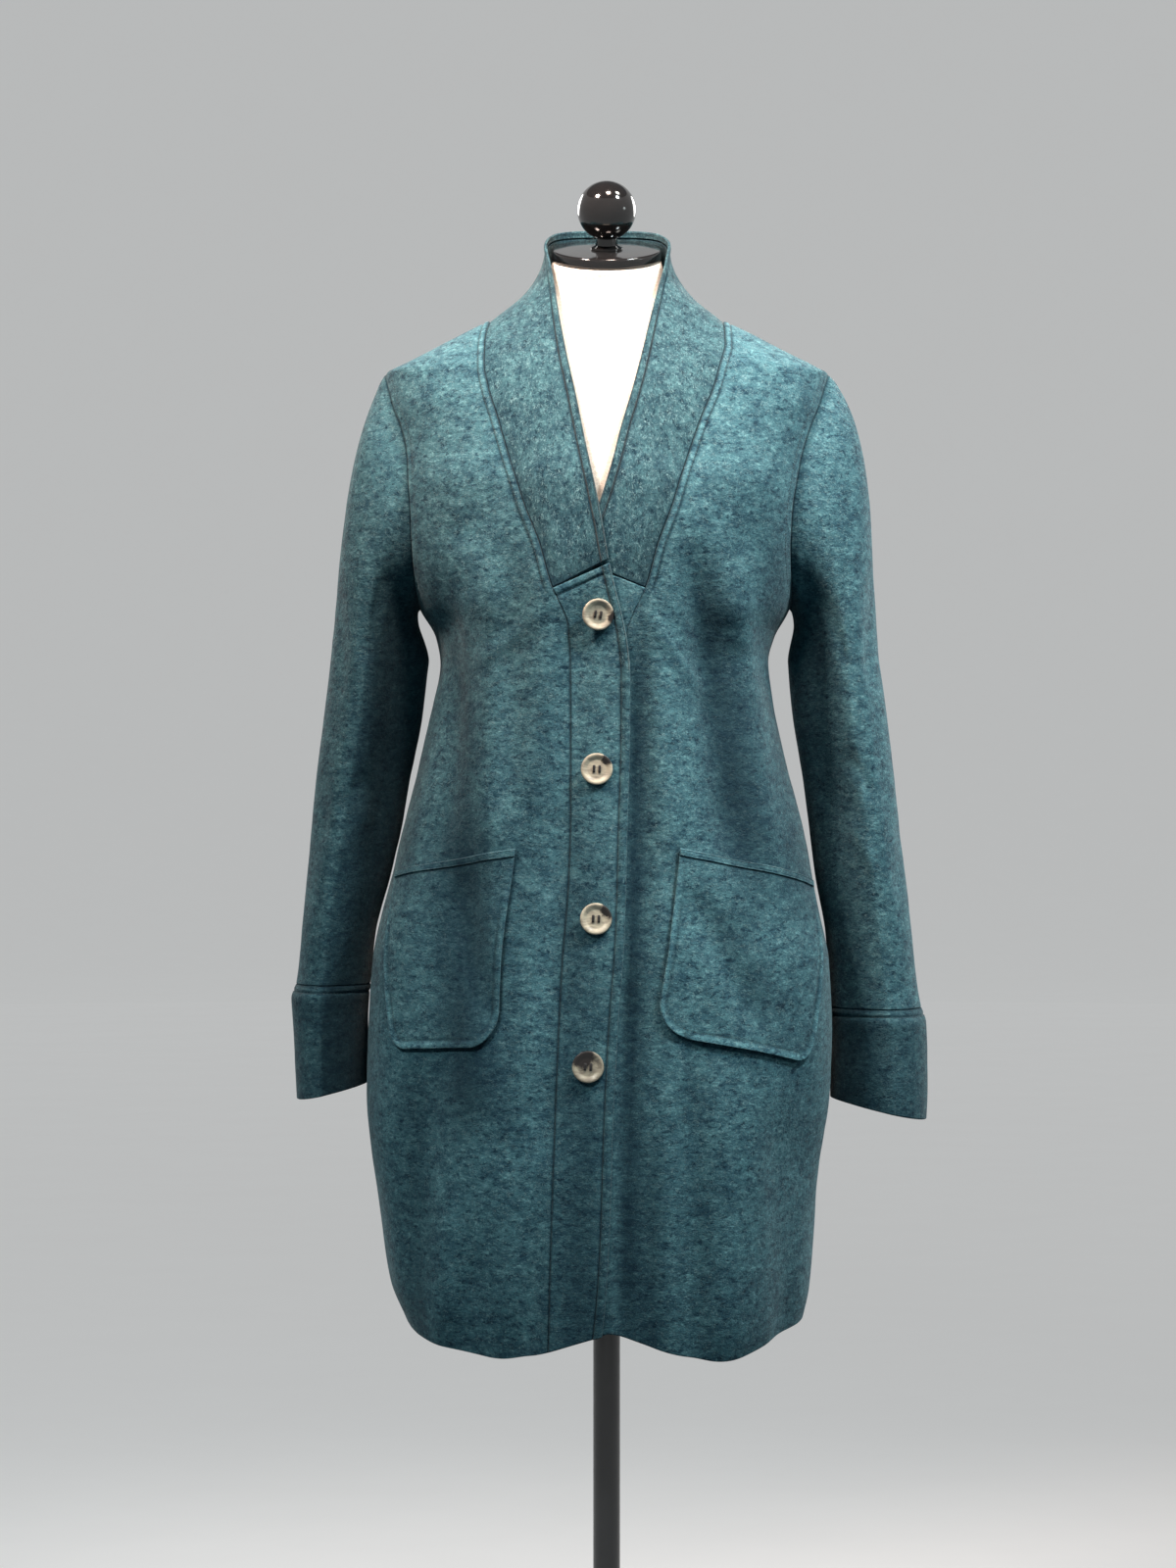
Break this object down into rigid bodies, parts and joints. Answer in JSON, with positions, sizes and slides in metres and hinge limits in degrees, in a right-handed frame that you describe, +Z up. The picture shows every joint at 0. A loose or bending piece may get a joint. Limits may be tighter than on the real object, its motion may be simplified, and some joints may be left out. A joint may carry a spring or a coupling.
{
  "type": "wool jacket on a dress form",
  "caption": "Knee-length boiled-wool jacket with a shawl collar, button band, patch pockets and cuffed long sleeves, buttoned on a limbless dress form.",
  "frame": {"origin": "on the floor, at the centre of the round base's underside", "axes": "+Z up; -Y towards the viewer, the way the jacket's front faces; +X to the wearer's left"},
  "size_m": [0.5928, 0.38, 1.547],
  "materials": {
    "wool": "matte felted wool, heathered teal",
    "bound_edge": "matte felted wool, folded edge",
    "horn": "polished horn effect, cream with dark brown patches",
    "jersey": "matte fine cream jersey over a firm body",
    "gloss_black": "gloss black",
    "stand_black": "satin black"
  },
  "bodies": {
    "root": {"back": "wool", "front_right": "wool", "front_left": "wool", "band_right": "wool", "band_left": "wool", "collar_right": "wool", "collar_left": "wool", "sleeve_right": "wool", "sleeve_left": "wool", "cuff_right": "wool", "cuff_left": "wool", "pocket_right": "wool", "pocket_left": "wool", "front_binding": "bound_edge", "neck_binding_right": "bound_edge", "neck_binding_left": "bound_edge", "pocket_binding_right": "bound_edge", "pocket_binding_left": "bound_edge", "button_1": "horn", "button_2": "horn", "button_3": "horn", "button_4": "horn", "form_torso": "jersey", "form_neck_cap": "gloss_black", "form_finial": "gloss_black", "stand_pole": "stand_black", "stand_base": "stand_black"}
  },
  "joints": []
}
